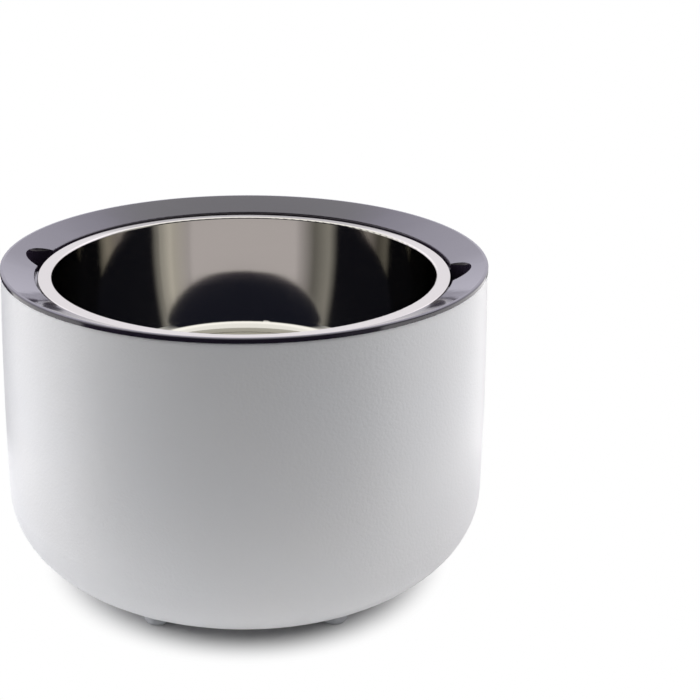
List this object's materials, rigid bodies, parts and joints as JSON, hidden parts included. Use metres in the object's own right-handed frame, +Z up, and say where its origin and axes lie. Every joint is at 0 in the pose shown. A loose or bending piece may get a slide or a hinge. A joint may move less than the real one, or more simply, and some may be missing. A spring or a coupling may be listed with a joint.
{
  "type": "weighted dog bowl",
  "caption": "Weighted round base in two shells, with a dished rim, finger scoops and bumper feet, and a steel bowl that lifts out of its well.",
  "frame": {"origin": "on the floor under the middle of the base", "axes": "+Z up along the axis that the bowl lifts out on, +X through a finger scoop"},
  "size_m": [0.2588, 0.2588, 0.172],
  "materials": {
    "shell_abs": "white ABS, moulded, fine satin",
    "liner_abs": "black ABS, moulded, glossy",
    "bowl_steel": "stainless steel, deep drawn and mirror polished",
    "ballast_iron": "grey iron, as cast, painted black",
    "screw_steel": "zinc-plated steel",
    "bumper_polyurethane": "clear soft polyurethane, glossy"
  },
  "bodies": {
    "base": {"outer_shell": "shell_abs", "inner_liner": "liner_abs", "ballast_disc": "ballast_iron", "liner_screws": "screw_steel", "ballast_screws": "screw_steel", "bumper_foot_1": "bumper_polyurethane", "bumper_foot_2": "bumper_polyurethane", "bumper_foot_3": "bumper_polyurethane", "bumper_foot_4": "bumper_polyurethane", "bumper_foot_5": "bumper_polyurethane", "bumper_foot_6": "bumper_polyurethane"},
    "bowl": {"steel_bowl": "bowl_steel"}
  },
  "joints": [
    {"name": "bowl_lift", "type": "slide", "parent": "base", "child": "bowl", "axis": [0, 0, 1], "range_m": [0, 0.106]}
  ]
}
